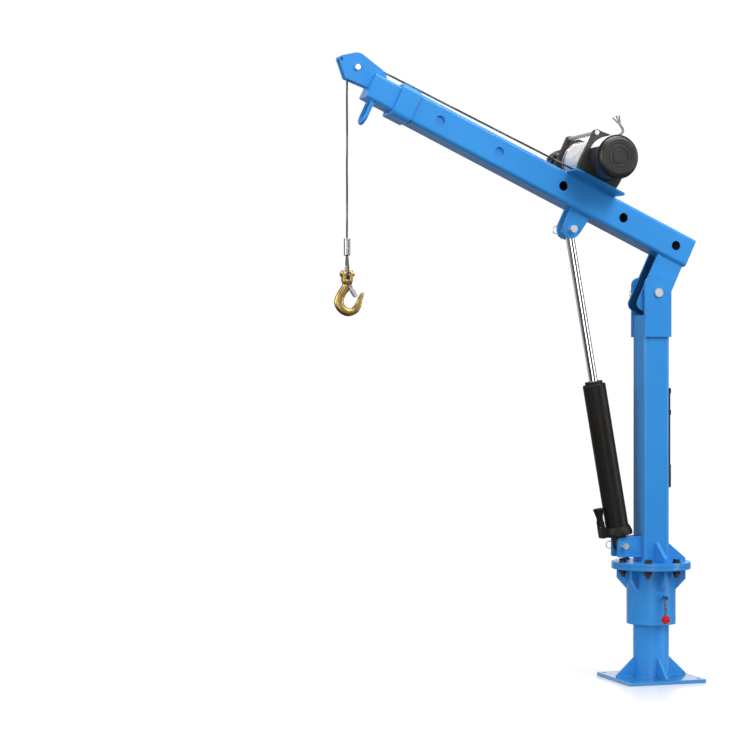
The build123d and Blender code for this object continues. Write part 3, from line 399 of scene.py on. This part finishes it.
def lathe(bm, profile, centre, axis, sides=48):
    axis = axis.normalized()
    ref = Vector((0, 0, 1)) if abs(axis.z) < 0.9 else Vector((1, 0, 0))
    e1 = (ref - axis * ref.dot(axis)).normalized()
    e2 = axis.cross(e1)
    rings = []
    for r, h in profile:
        base = centre + axis * h
        if r < 1e-7:
            rings.append([bm.verts.new(base)])
        else:
            rings.append([bm.verts.new(base + (e1 * math.cos(2 * math.pi * k / sides) + e2 * math.sin(2 * math.pi * k / sides)) * r)
                          for k in range(sides)])
    for a, b in zip(rings, rings[1:]):
        for k in range(sides):
            j = (k + 1) % sides
            if len(a) == 1 and len(b) == 1:
                continue
            if len(a) == 1:
                bm.faces.new((a[0], b[j], b[k]))
            elif len(b) == 1:
                bm.faces.new((a[k], a[j], b[0]))
            else:
                bm.faces.new((a[k], a[j], b[j], b[k]))


def nurbs(points, resolution=64):
    data = bpy.data.curves.new("route", "CURVE")
    data.dimensions = "3D"
    data.resolution_u = resolution
    spline = data.splines.new("NURBS")
    spline.points.add(len(points) - 1)
    for p, co in zip(spline.points, points):
        p.co = (*co, 1.0)
    spline.order_u = 3
    spline.use_endpoint_u = True
    o = bpy.data.objects.new("route", data)
    scene.collection.objects.link(o)
    bpy.context.view_layer.update()
    mesh = bpy.data.meshes.new_from_object(o.evaluated_get(bpy.context.evaluated_depsgraph_get()))
    out = [v.co.copy() for v in mesh.vertices]
    bpy.data.objects.remove(o)
    bpy.data.curves.remove(data)
    bpy.data.meshes.remove(mesh)
    return out


def strands(bm, points, start_phase=0.0, helix=0.00196, wire=0.00106, lay=0.040, sides=5, count=6):
    fr = frames(points)
    run = [0.0]
    for a, b in zip(points, points[1:]):
        run.append(run[-1] + (b - a).length)
    for k in range(count):
        line = []
        for p, (n, b), s in zip(points, fr, run):
            a = start_phase + 2 * math.pi * (s / lay + k / count)
            line.append(p + (n * math.cos(a) + b * math.sin(a)) * helix)
        sweep(bm, line, wire, sides)
    sweep(bm, points, 0.0011, 6)
    return run[-1]


# ------------------------------------------------------------------ wire rope: run, wrap over the pulley, fall
WINCH_U, WINCH_V = 317.0, 110.0
RUN_U0, RUN_Y0, RUN_V0 = 316.9226, 45.0, 53.00005
RUN_U1, RUN_V1 = 1053.4333, 51.99998
run_dir = (B(RUN_U1, 0, RUN_V1) - B(RUN_U0, RUN_Y0, RUN_V0)).normalized()
top = B(RUN_U1, 0, RUN_V1)
side = W(ROPE_X, 0, 1702.2431)
route = [B(RUN_U0, RUN_Y0, RUN_V0), B(RUN_U0, RUN_Y0, RUN_V0) + run_dir * 0.036, top - run_dir * 0.036, B(1047.2, 0.3, 52.0),
         W(875.9, 0, 1727.1), W(888.4, 0, 1726.3), W(899.0, 0, 1719.5), W(ROPE_X, 0, 1708.5), W(ROPE_X, 0, 1696.0),
         W(ROPE_X, 0, 1666.0), W(ROPE_X, 0, 1274.0), W(ROPE_X, 0, 1238.0)]
dense = nurbs(route, 320)
cut_a = min(range(len(dense)), key=lambda i: (dense[i] - top).length)
cut_b = min(range(len(dense)), key=lambda i: (dense[i] - side).length)


def even(points, gap):
    out = [points[0]]
    for p in points[1:]:
        if (p - out[-1]).length >= gap:
            out.append(p)
    if (points[-1] - out[-1]).length > gap * 0.3:
        out.append(points[-1])
    else:
        out[-1] = points[-1]
    return out


phase = 0.0
# the run, wrap and fall use the dark rope copy: painted shade
for name, part, body_a, body_b in (("rope_run_strands", dense[:cut_a + 1], "boom", "inner_boom"),
                                   ("rope_wrap_strands", dense[cut_a:cut_b + 1], "inner_boom", "rope_hang"),
                                   ("rope_fall_strands", dense[cut_b:], "rope_hang", "hook_block")):
    part = even(part, 0.0016)
    bm = bmesh.new()
    length = strands(bm, part, phase)
    phase += 2 * math.pi * length / 0.040
    o = finish_mesh(name, bm, ROPE_PAINTED_SHADE, 60.0)
    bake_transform(o)
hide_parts("rope_run")
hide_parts("rope_fall")

# turns on the drum: a full lower layer, and an upper layer from the far flange to one rope short of where the rope leaves
def drum_turns(name, radius, y0, y1, end_angle, direction):
    turns = abs(y1 - y0) / 6.15
    per = 14
    total = int(turns * per)
    pts = []
    for i in range(total + 1):
        f = i / total
        a = end_angle + direction * 2 * math.pi * turns * (1 - f)
        k = radius / math.cos(math.pi / per)
        pts.append(B(WINCH_U + k * math.cos(a), y0 + (y1 - y0) * f, WINCH_V + k * math.sin(a)))
    return nurbs(pts, 4)


bm = bmesh.new()
for radius, y0, y1 in ((51.2, 76.6, -76.6), (56.8, -76.6, RUN_Y0 - 6.5)):
    line = drum_turns("turns", radius, y0, y1, math.radians(-90.078), -1 if y1 > y0 else 1)
    strands(bm, even(line, 0.0034), 0.0, 0.00196, 0.00106, 0.040, 4)
# the drum turns use the bright rope copy: painted light
turns = finish_mesh("drum_rope_turns", bm, WIRE, 70.0)
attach(turns, "drum")
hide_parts("drum_rope")

# rope eye and thimble under the ferrule
eye_route = [W(ROPE_X, -3.4, 1190.6), W(ROPE_X, -6.2, 1176.0), W(ROPE_X, -11.6, 1149.0), W(ROPE_X, -13.4, 1139.0),
             W(ROPE_X, -9.0, 1131.0), W(ROPE_X, 0.0, 1127.6), W(ROPE_X, 9.0, 1131.0), W(ROPE_X, 13.4, 1139.0),
             W(ROPE_X, 11.6, 1149.0), W(ROPE_X, 6.2, 1176.0), W(ROPE_X, 3.4, 1190.6)]
bm = bmesh.new()
strands(bm, even(nurbs(eye_route, 60), 0.0012))
# the rope eye uses the dark rope copy: painted shade
eye = finish_mesh("rope_eye_strands", bm, ROPE_PAINTED_SHADE, 60.0)
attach(eye, "hook_block")
gutter_route = [W(ROPE_X, -3.0, 1166.0), W(ROPE_X, -5.4, 1157.0), W(ROPE_X, -8.6, 1145.0), W(ROPE_X, -8.4, 1136.0),
                W(ROPE_X, -4.4, 1132.2), W(ROPE_X, 4.4, 1132.2), W(ROPE_X, 8.4, 1136.0), W(ROPE_X, 8.6, 1145.0),
                W(ROPE_X, 5.4, 1157.0), W(ROPE_X, 3.0, 1166.0)]
bm = bmesh.new()
line = even(nurbs(gutter_route, 30), 0.0010)
fr = frames(line)
rows = []
for p, (n, b) in zip(line, fr):
    out = Vector((0, p.y, p.z - 1.1430))
    out = out - Vector((1, 0, 0)) * out.dot(Vector((1, 0, 0)))
    t = n.cross(b)
    out = (out - t * out.dot(t)).normalized()
    section = [(-4.1, 3.0), (-4.3, 1.2), (-3.2, -0.7), (0, -1.5), (3.2, -0.7), (4.3, 1.2), (4.1, 3.0), (3.5, 2.9), (3.5, 1.4),
               (2.7, 0.0), (0, -0.6), (-2.7, 0.0), (-3.5, 1.4), (-3.5, 2.9)]
    rows.append([bm.verts.new(p + Vector((1, 0, 0)) * x / 1000 + out * h / 1000) for x, h in section])
for a, b2 in zip(rows, rows[1:]):
    m = len(a)
    for k in range(m):
        bm.faces.new((a[k], a[(k + 1) % m], b2[(k + 1) % m], b2[k]))
bm.faces.new(rows[0])
bm.faces.new(list(reversed(rows[-1])))
thimble = finish_mesh("thimble_gutter", bm, ZINC, 40.0)
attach(thimble, "hook_block")
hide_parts("rope_thimble")

# ------------------------------------------------------------------ forged hook
centre_line = [(0, -17.6, 14.0, 11.0, 6.0), (0, -20.5, 14.0, 11.0, 6.0), (0.2, -25, 13.2, 10.2, 4.0), (0.8, -30, 13.0, 9.2, 3.0),
               (3.6, -36.5, 12.3, 8.6, 2.6), (11.6, -47.5, 11.6, 8.2, 2.4), (19.8, -61.5, 12.2, 8.2, 2.3), (23.4, -76, 13.2, 8.4, 2.3),
               (20.4, -87, 13.0, 8.6, 2.3), (13.5, -95.8, 12.3, 8.8, 2.3), (5.2, -101.4, 11.7, 8.8, 2.3), (-4.0, -103.6, 11.3, 8.6, 2.3),
               (-14.5, -101.8, 10.6, 8.2, 2.3), (-23.8, -96.0, 10.2, 7.8, 2.3), (-30.5, -86.5, 9.3, 7.2, 2.2), (-34.5, -74.8, 8.0, 6.5, 2.2),
               (-38.6, -63.8, 6.7, 5.8, 2.1), (-42.8, -56.2, 5.3, 4.8, 2.0), (-45.4, -51.6, 3.6, 3.5, 2.0), (-46.4, -49.4, 1.8, 1.8, 2.0)]


def catmull(rows, per):
    out = []
    n = len(rows)
    for i in range(n - 1):
        p0, p1, p2, p3 = rows[max(i - 1, 0)], rows[i], rows[i + 1], rows[min(i + 2, n - 1)]
        for k in range(per):
            t = k / per
            out.append([0.5 * (2 * b + (c - a) * t + (2 * a - 5 * b + 4 * c - d) * t * t + (3 * b - a - 3 * c + d) * t ** 3)
                        for a, b, c, d in zip(p0, p1, p2, p3)])
    out.append(list(rows[-1]))
    return out


bm = bmesh.new()
samples = catmull(centre_line, 5)
rings = []
for i, (x, z, a, b, e) in enumerate(samples):
    q, p = samples[max(i - 1, 0)], samples[min(i + 1, len(samples) - 1)]
    t = Vector((p[0] - q[0], 0, p[1] - q[1])).normalized()
    if i < 10:
        t = Vector((0, 0, -1)).lerp(t, i / 14.0).normalized()
    nrm = Vector((-t.z, 0, t.x))
    ring = []
    for k in range(24):
        ang = 2 * math.pi * k / 24
        c, s = math.cos(ang), math.sin(ang)
        ring.append(bm.verts.new(W(ROPE_X + x, 0, 1141 + z) + nrm * (math.copysign(abs(c) ** (2 / e), c) * a / 1000)
                                 + Vector((0, 1, 0)) * (math.copysign(abs(s) ** (2 / e), s) * b / 1000)))
    rings.append(ring)
for a, b in zip(rings, rings[1:]):
    for k in range(24):
        bm.faces.new((a[k], a[(k + 1) % 24], b[(k + 1) % 24], b[k]))
bm.faces.new(rings[0])
bm.faces.new(list(reversed(rings[-1])))
for s in (-1, 1):
    outline = [(-10.6, -18.5)] + [(11 * math.cos(math.radians(t)), 11 * math.sin(math.radians(t))) for t in range(180, -1, -12)] + [(10.6, -18.5)]
    faces = []
    x0, x1 = (5.2, 14.0) if s > 0 else (-14.0, -5.2)
    layers = []
    for x, k in ((x0, 0.93), (x0 + 0.9, 1.0), (x1 - 0.9, 1.0), (x1, 0.93)):
        layers.append([bm.verts.new(W(ROPE_X + x, y * k, 1141 + (z * k if z > -15 else z))) for y, z in outline])
    for a, b in zip(layers, layers[1:]):
        for k in range(len(outline)):
            j = (k + 1) % len(outline)
            bm.faces.new((a[k], a[j], b[j], b[k]))
    bm.faces.new(layers[0])
    bm.faces.new(list(reversed(layers[-1])))
forged = finish_mesh("hook_forging", bm, GOLD, 44.0)
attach(forged, "hook_body")
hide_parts("hook")


# ------------------------------------------------------------------ weld beads
def ripple_points(points, gap):
    out = [points[0]]
    for a, b in zip(points, points[1:]):
        n = max(1, int(math.ceil((b - a).length / gap)))
        out += [a.lerp(b, i / n) for i in range(1, n + 1)]
    return out


def bead(bm, points, r, closed=False):
    pts = ripple_points(points + ([points[0]] if closed else []), 0.0016)
    if closed:
        pts = pts[:-1]
    n = len(pts)

    def size(i):
        ends = 1.0 if closed else min(1.0, 0.45 + 0.3 * min(i, n - 1 - i))
        return r * ends * (0.92 + 0.10 * math.sin(i * 1.45) + 0.05 * math.sin(i * 0.37 + 1.0))

    sweep(bm, pts, size, 7, closed)


def circle(f, r, n=72, a0=0.0, a1=360.0):
    return [f(r * math.cos(math.radians(a0 + (a1 - a0) * k / n)), r * math.sin(math.radians(a0 + (a1 - a0) * k / n)))
            for k in range(n if a1 - a0 >= 359.9 else n + 1)]


def spin(p, angle):
    a = math.radians(angle)
    return Vector((p.x * math.cos(a) - p.y * math.sin(a), p.x * math.sin(a) + p.y * math.cos(a), p.z))


def rounded_square(f, half_a, half_b, r, n=5):
    pts = []
    for cx, cy, a0 in ((1, 1, 0), (-1, 1, 90), (-1, -1, 180), (1, -1, 270)):
        for k in range(n + 1):
            a = math.radians(a0 + 90 * k / n)
            pts.append(f(cx * (half_a - r) + r * math.cos(a), cy * (half_b - r) + r * math.sin(a)))
    return pts


bm = bmesh.new()
bead(bm, circle(lambda x, y: W(x, y, 10.4), 51.6), 0.0017, True)
for k in range(4):
    for s in (-4.4, 4.4):
        bead(bm, [spin(W(54, s, 10.5), 90 * k), spin(W(106, s, 10.5), 90 * k)], 0.0013)
        bead(bm, [spin(W(51.2, s * 1.05, 13), 90 * k), spin(W(51.2, s * 1.05, 63), 90 * k)], 0.0013)
welds = finish_mesh("weld_beads_base", bm, BLUE, 60.0)
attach(welds, "base")

bm = bmesh.new()
bead(bm, circle(lambda x, y: W(x, y, 315.5), 70.6), 0.0016, True)
for k in range(6):
    for s in (-4.4, 4.4):
        bead(bm, [spin(W(72, s, 315.6), 30 + 60 * k), spin(W(96, s, 315.6), 30 + 60 * k)], 0.0012)
        bead(bm, [spin(W(70.0, s, 312), 30 + 60 * k), spin(W(70.0, s, 260), 30 + 60 * k)], 0.0012)
bead(bm, rounded_square(lambda x, y: W(x, y, 336.6), 40.6, 40.6, 10.6), 0.0017, True)
for a, off, reach, top_z in ((90, 0.0, 98, 389), (-90, 0.0, 98, 389), (180, 20.0, 94, 385), (180, -20.0, 94, 385)):
    for s in (-5.9, 5.9):
        bead(bm, [spin(W(43, off + s, 336.5), a), spin(W(reach, off + s, 336.5), a)], 0.0012)
        bead(bm, [spin(W(40.4, off + s, 339), a), spin(W(40.4, off + s, top_z), a)], 0.0012)
for s in (-1, 1):
    bead(bm, [W(-35, s * 40.5, 972.4), W(35, s * 40.5, 972.4)], 0.0015)
    bead(bm, [W(40.5, s * 26.4, 352), W(40.5, s * 26.4, 408.5)], 0.0014)
    bead(bm, [W(40.5, s * 15.6, 352), W(40.5, s * 15.6, 408.5)], 0.0013)
    for x in (-1, 1):
        bead(bm, [W(x * 38.6, s * 39.8, 976), W(x * 38.6, s * 39.8, 1033)], 0.0014)
boss_line = []
for t in range(0, 360, 8):
    x, z = 10.4 * math.cos(math.radians(t)), 10.4 * math.sin(math.radians(t))
    boss_line.append(W(x, math.sqrt(69.85 ** 2 - x * x) + 0.4, 240 + z))
bead(bm, boss_line, 0.0012, True)
welds = finish_mesh("weld_beads_column", bm, BLUE, 60.0)
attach(welds, "column")

bm = bmesh.new()
bead(bm, [B(40, 34.4, -44.4), B(-39, 34.4, -44.4), B(-41, 33.8, -44.4), B(-41.4, 32, -44.4), B(-41.4, -32, -44.4),
          B(-41, -33.8, -44.4), B(-39, -34.4, -44.4), B(40, -34.4, -44.4)], 0.0013)
for s in (-1, 1):
    for y in (15.4, 26.6):
        bead(bm, [B(271, s * y, -44.4), B(331, s * y, -44.4)], 0.0013)
    bead(bm, [B(234, s * 37.4, 39.2), B(385, s * 37.4, 39.2)], 0.0016)
bead(bm, rounded_square(lambda a, b: B(864.6, a, b - 2.0), 42.6, 42.6, 10.6), 0.0014, True)
welds = finish_mesh("weld_beads_boom", bm, BLUE, 60.0)
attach(welds, "boom")

bm = bmesh.new()
for s in (-1, 1):
    bead(bm, [B(967, s * 17.4, 34.4), B(1001, s * 17.4, 34.4)], 0.0013)
    bead(bm, [B(1001.9, s * 17.4, 33), B(1001.9, s * 17.4, -7.5)], 0.0013)
    bead(bm, circle(lambda x, y: B(977 + x, s * 22 + y, -38.4), 6.4, 28), 0.0014, True)
welds = finish_mesh("weld_beads_inner_boom", bm, BLUE, 60.0)
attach(welds, "inner_boom")

# ------------------------------------------------------------------ winch details
bm = bmesh.new()
arc = [2 + 170 * k / 60 for k in range(61)]
inner, outer = [], []
for a in arc:
    c, s = math.cos(math.radians(a)), math.sin(math.radians(a))
    inner.append([bm.verts.new(B(WINCH_U + 61.02 * c, y, WINCH_V + 61.02 * s)) for y in (106.0, 165.4)])
    outer.append([bm.verts.new(B(WINCH_U + 61.45 * c, y, WINCH_V + 61.45 * s)) for y in (106.2, 165.2)])
for i in range(60):
    for rows, k in ((inner, 0), (outer, 1)):
        a, b = rows[i], rows[i + 1]
        bm.faces.new((a[0], a[1], b[1], b[0]))
    for e in (0, 1):
        bm.faces.new((inner[i][e], inner[i + 1][e], outer[i + 1][e], outer[i][e]))
for i in (0, 60):
    bm.faces.new((inner[i][0], inner[i][1], outer[i][1], outer[i][0]))
label = finish_mesh("gearbox_bare_label", bm, LABEL, 40.0)
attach(label, "boom")

# brass terminal studs with nuts on the motor
bm = bmesh.new()
for a, y in ((38, -150), (62, -150), (86, -150)):
    c, s = math.cos(math.radians(a)), math.sin(math.radians(a))
    out = BOOM_ROT @ Vector((c, 0, s))
    base = B(WINCH_U + 48 * c, y, WINCH_V + 48 * s)
    lathe(bm, [(0.0026, 0.0), (0.0026, 0.0170), (0.0020, 0.0178), (0, 0.0178)], base, out, 16)
    lathe(bm, [(0.0, 0.0045), (0.0058, 0.0045), (0.0058, 0.0085), (0.0052, 0.0090), (0, 0.0090)], base, out, 6)
studs = finish_mesh("motor_terminals", bm, BRASS, 30.0)
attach(studs, "boom")
bm = bmesh.new()
for a, y in ((38, -150), (62, -150), (86, -150)):
    c, s = math.cos(math.radians(a)), math.sin(math.radians(a))
    out = BOOM_ROT @ Vector((c, 0, s))
    base = B(WINCH_U + 47.6 * c, y, WINCH_V + 47.6 * s)
    lathe(bm, [(0.0095, 0.0), (0.0090, 0.0036), (0.0080, 0.0046), (0.0, 0.0046)], base, out, 24)
washers = finish_mesh("motor_terminal_insulators", bm, RUBBER, 30.0)
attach(washers, "boom")

# grip rings on the stowed handle
bm = bmesh.new()
for k in range(7):
    z = 552 + k * 8.4
    lathe(bm, [(0.0094, -0.0028), (0.0103, -0.0018), (0.0103, 0.0018), (0.0094, 0.0028)], W(-51.5, 0, z), Vector((0, 0, 1)), 32)
rings_piece = finish_mesh("handle_grip_rings", bm, RUBBER, 40.0)
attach(rings_piece, "stowed_handle")


# ------------------------------------------------------------------ floor, world and light
bm = bmesh.new()
lathe(bm, [(0.0, -0.0004), (0.56, -0.0004)], Vector((0, 0, 0)), Vector((0, 0, 1)), 96)
floor_mat = Tree("pale_floor")
floor_mat.colour(floor_mat.ramp(floor_mat.noise(1.5, 2.0), [(0.3, (0.90, 0.90, 0.90)), (0.7, (0.92, 0.92, 0.92))]))
floor_mat.rough(floor_mat.range(floor_mat.noise(30.0, 3.0), 0.20, 0.26))
spread = floor_mat.node("ShaderNodeTexGradient", gradient_type="SPHERICAL")
floor_mat.link(floor_mat.mapping(scale=(1.8, 1.8, 1.8)), spread.inputs["Vector"])
floor_mat.link(floor_mat.range(spread.outputs["Fac"], 0.0, 1.0, 0.02, 0.62), floor_mat.bsdf.inputs["Alpha"])
floor = finish_mesh("floor", bm, floor_mat.mat, 40.0)

# white sweep behind the crane, a dim room at the sides and in front
scene.view_settings.view_transform = "Standard"
world = bpy.data.worlds.new("studio")
scene.world = world
world.use_nodes = True
wt = world.node_tree
background = wt.nodes["Background"]
coord, turn_to, grade, shades = (wt.nodes.new(k) for k in (
    "ShaderNodeTexCoord", "ShaderNodeMapping", "ShaderNodeTexGradient", "ShaderNodeValToRGB"))
turn_to.inputs["Scale"].default_value = (0.5, 0.5, 0.5)
turn_to.inputs["Rotation"].default_value = (0.0, 0.0, math.pi / 2 + yaw)
turn_to.inputs["Location"].default_value = (0.5, 0.0, 0.0)
wt.links.new(coord.outputs["Generated"], turn_to.inputs["Vector"])
wt.links.new(turn_to.outputs["Vector"], grade.inputs["Vector"])
wt.links.new(grade.outputs["Fac"], shades.inputs["Fac"])
height, lift, dim = (wt.nodes.new(k) for k in ("ShaderNodeSeparateXYZ", "ShaderNodeMapRange", "ShaderNodeMix"))
dim.data_type, dim.blend_type = "RGBA", "MULTIPLY"
dim.inputs[0].default_value = 1.0
for key, value in (("From Min", -0.242), ("From Max", -0.195), ("To Min", 0.28), ("To Max", 1.0)):
    lift.inputs[key].default_value = value
wt.links.new(coord.outputs["Generated"], height.inputs["Vector"])
wt.links.new(height.outputs["Z"], lift.inputs["Value"])
wt.links.new(shades.outputs["Color"], dim.inputs[6])
wt.links.new(lift.outputs["Result"], dim.inputs[7])
wt.links.new(dim.outputs[2], background.inputs["Color"])
stops = ((0.0, 0.10), (0.50, 0.14), (0.86, 0.16), (0.912, 0.16), (0.94, 1.0))
while len(shades.color_ramp.elements) < len(stops):
    shades.color_ramp.elements.new(0.5)
for element, (place, level) in zip(shades.color_ramp.elements, stops):
    element.position = place
    element.color = (level, level, level, 1.0)
background.inputs["Strength"].default_value = 1.02


def area(name, place, target, size, power):
    data = bpy.data.lights.new(name, "AREA")
    data.shape = "RECTANGLE"
    data.size, data.size_y = size
    data.energy = power
    o = bpy.data.objects.new(name, data)
    scene.collection.objects.link(o)
    o.location = place
    o.rotation_mode = "QUATERNION"
    o.rotation_quaternion = (Vector(target) - Vector(place)).to_track_quat("-Z", "Y")
    return o


area("key", (-1.0, 2.7, 3.7), (0.2, 0, 1.0), (2.2, 2.2), 120)
area("side", (-3.2, 2.2, 1.4), (0.1, 0, 0.9), (1.2, 3.0), 55)
area("top", (0.2, -0.4, 4.6), (0.2, 0, 0.6), (2.6, 2.6), 150)
area("fill", (3.0, 0.9, 1.7), (0.1, 0, 0.9), (1.2, 1.6), 45)
area("front", (2.2, 5.2, 0.9), (0.2, 0, 1.0), (2.0, 2.0), 62)
area("panel", (3.3, -2.2, 1.2), (0.2, 0, 1.0), (3.0, 3.0), 10)
